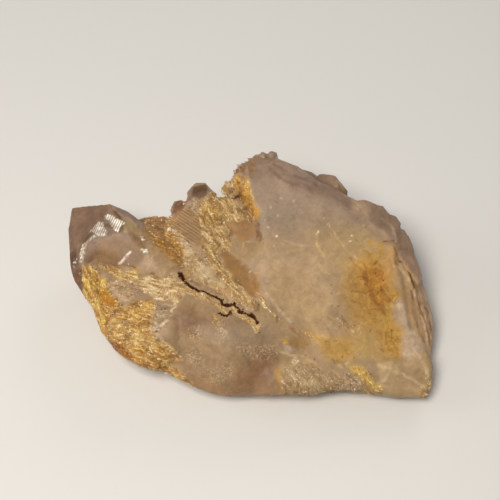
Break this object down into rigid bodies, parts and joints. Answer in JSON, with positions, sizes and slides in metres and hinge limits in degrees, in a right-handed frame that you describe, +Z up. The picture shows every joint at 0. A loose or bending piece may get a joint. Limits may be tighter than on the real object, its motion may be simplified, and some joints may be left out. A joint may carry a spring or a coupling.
{
  "type": "sugar blade quartz cluster",
  "caption": "Cluster of flattened milky and smoky quartz blades grown together, crusted with fine sugar druse, resting on its flat broken base.",
  "frame": {"origin": "middle of the bounding box, on the surface that the cluster stands on", "axes": "+X along the cluster's length, away from the smoky point; +Y to the back; +Z up"},
  "size_m": [0.0992, 0.063, 0.0331],
  "materials": {
    "milky_quartz": "translucent milky to smoky crystal, waxy faces with orange iron stain",
    "sugar_druse": "sparkling crust of tiny crystals, yellow with iron oxide"
  },
  "bodies": {
    "root": {"quartz_cluster": "milky_quartz"}
  },
  "joints": []
}
